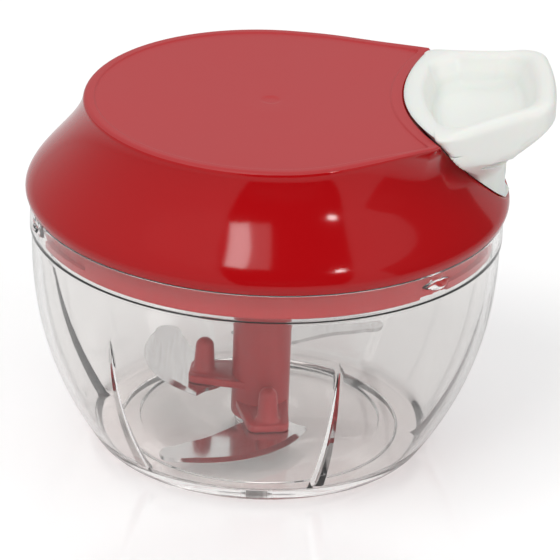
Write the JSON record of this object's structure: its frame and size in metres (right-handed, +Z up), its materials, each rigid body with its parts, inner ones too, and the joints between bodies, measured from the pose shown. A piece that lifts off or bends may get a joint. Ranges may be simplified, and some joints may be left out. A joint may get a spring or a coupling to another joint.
{
  "type": "pull-cord food chopper",
  "caption": "Pull-cord food chopper: clear ribbed bowl, twist-on lid with a cord reel, docked pull handle and a hub with sickle blades on a centre pin.",
  "frame": {"origin": "middle of the bowl's underside, on the surface it stands on", "axes": "+X out of the bowl's axis towards the pull handle, which is pulled along it; +Z up along the bowl's axis"},
  "size_m": [0.1351, 0.125, 0.1018],
  "materials": {
    "clear_plastic": "gloss",
    "red_shell": "gloss, satin top panel",
    "red_plastic": "semi-gloss",
    "white_plastic": "satin",
    "grey_plastic": "satin",
    "blade_steel": "ground",
    "plain_steel": "smooth",
    "silicone": "matt",
    "cord": "braided"
  },
  "bodies": {
    "bowl": {"bowl": "clear_plastic", "spindle_pin": "plain_steel"},
    "blades": {"blade_hub": "red_plastic", "blade_lower": "blade_steel", "blade_middle": "blade_steel", "blade_upper": "blade_steel"},
    "seal": {"lid_seal": "silicone"},
    "lid": {"lid_housing": "red_shell", "lid_base": "red_plastic", "lid_screw_1": "plain_steel", "lid_screw_2": "plain_steel", "lid_screw_3": "plain_steel", "lid_screw_4": "plain_steel", "cord_eyelet": "white_plastic", "reel_axle": "plain_steel", "thrust_washer": "grey_plastic"},
    "reel": {"cord_reel": "white_plastic", "reel_cover": "grey_plastic", "recoil_spring": "plain_steel", "cord_winding": "cord"},
    "drive": {"drive_hub": "grey_plastic"},
    "pawl_a": {"pawl_1": "plain_steel"},
    "pawl_b": {"pawl_2": "plain_steel"},
    "handle": {"handle": "white_plastic", "handle_plug": "white_plastic", "cord_lead": "cord"}
  },
  "joints": [
    {"name": "lid_lift", "type": "slide", "parent": "bowl", "child": "seal", "axis": [0, 0, 1], "range_m": [0, 0.15]},
    {"name": "lid_turn", "type": "hinge", "parent": "seal", "child": "lid", "pos_m": [0, 0, 0.0682], "axis": [0, 0, -1], "range_deg": [0, 18]},
    {"name": "handle_pull", "type": "slide", "parent": "lid", "child": "handle", "axis": [1, 0, 0], "range_m": [0, 0.55], "stiffness_N_per_m": 8, "springref_m": -0.25, "deforming": ["cord_lead"]},
    {"name": "reel_spin", "type": "hinge", "parent": "lid", "child": "reel", "pos_m": [0, 0, 0.079], "axis": [0, 0, 1], "range_deg": [0, 1371], "deforming": ["recoil_spring", "cord_winding"]},
    {"name": "drive_spin", "type": "hinge", "parent": "lid", "child": "drive", "pos_m": [0, 0, 0.065], "axis": [0, 0, 1], "range_deg": [0, 1371]},
    {"name": "pawl_a_swing", "type": "hinge", "parent": "drive", "child": "pawl_a", "pos_m": [0, 0.011, 0.068], "axis": [0, 0, -1], "range_deg": [0, 16]},
    {"name": "pawl_b_swing", "type": "hinge", "parent": "drive", "child": "pawl_b", "pos_m": [0, -0.011, 0.068], "axis": [0, 0, -1], "range_deg": [0, 16]},
    {"name": "blade_spin", "type": "hinge", "parent": "bowl", "child": "blades", "pos_m": [0, 0, 0.0053], "axis": [0, 0, 1], "range_deg": [0, 1371]}
  ],
  "couplings": [
    {"joint": "reel_spin", "follows": "handle_pull", "rad_per_m": 43.478},
    {"joint": "drive_spin", "follows": "handle_pull", "rad_per_m": 43.478},
    {"joint": "blade_spin", "follows": "handle_pull", "rad_per_m": 43.478}
  ]
}
